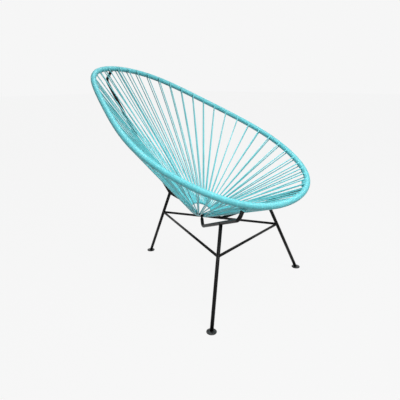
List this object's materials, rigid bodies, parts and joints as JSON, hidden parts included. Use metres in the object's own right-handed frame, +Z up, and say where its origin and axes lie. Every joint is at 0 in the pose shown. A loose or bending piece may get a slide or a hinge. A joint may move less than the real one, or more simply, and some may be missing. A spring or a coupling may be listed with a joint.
{
  "type": "lounge chair",
  "caption": "Egg-shaped lounge chair: a cord-wound steel hoop strung with plastic cord down to a small hub ring, on three splayed rod legs with braces and disc feet.",
  "frame": {"origin": "centre of the whole chair's outline on the floor, between the three feet", "axes": "+Z up, -Y the way the sitter faces, +X on the sitter's left"},
  "size_m": [0.7062, 0.9656, 0.83],
  "materials": {
    "frame_paint": "satin",
    "foot_paint": "gloss",
    "seat_cord": "satin",
    "hoop_cord": "satin"
  },
  "bodies": {
    "root": {"binding_left": "hoop_cord", "binding_right": "hoop_cord", "brace_front": "frame_paint", "brace_left": "frame_paint", "brace_right": "frame_paint", "foot_front_left": "foot_paint", "foot_front_right": "foot_paint", "foot_rear": "foot_paint", "hoop_rod": "frame_paint", "hoop_winding_back_1": "hoop_cord", "hoop_winding_back_10": "hoop_cord", "hoop_winding_back_11": "hoop_cord", "hoop_winding_back_2": "hoop_cord", "hoop_winding_back_3": "hoop_cord", "hoop_winding_back_4": "hoop_cord", "hoop_winding_back_5": "hoop_cord", "hoop_winding_back_6": "hoop_cord", "hoop_winding_back_7": "hoop_cord", "hoop_winding_back_8": "hoop_cord", "hoop_winding_back_9": "hoop_cord", "hoop_winding_front_1": "hoop_cord", "hoop_winding_front_2": "hoop_cord", "hub_ring": "frame_paint", "leg_front_left": "frame_paint", "leg_front_right": "frame_paint", "leg_rear": "frame_paint", "rail_left": "frame_paint", "rail_right": "frame_paint", "seat_cord_01": "seat_cord", "seat_cord_02": "seat_cord", "seat_cord_03": "seat_cord", "seat_cord_04": "seat_cord", "seat_cord_05": "seat_cord", "seat_cord_06": "seat_cord", "seat_cord_07": "seat_cord", "seat_cord_08": "seat_cord", "seat_cord_09": "seat_cord", "seat_cord_10": "seat_cord", "seat_cord_11": "seat_cord", "seat_cord_12": "seat_cord", "seat_cord_13": "seat_cord", "seat_cord_14": "seat_cord", "seat_cord_15": "seat_cord", "seat_cord_16": "seat_cord", "seat_cord_17": "seat_cord", "seat_cord_18": "seat_cord", "spine_rod": "frame_paint"}
  },
  "joints": []
}
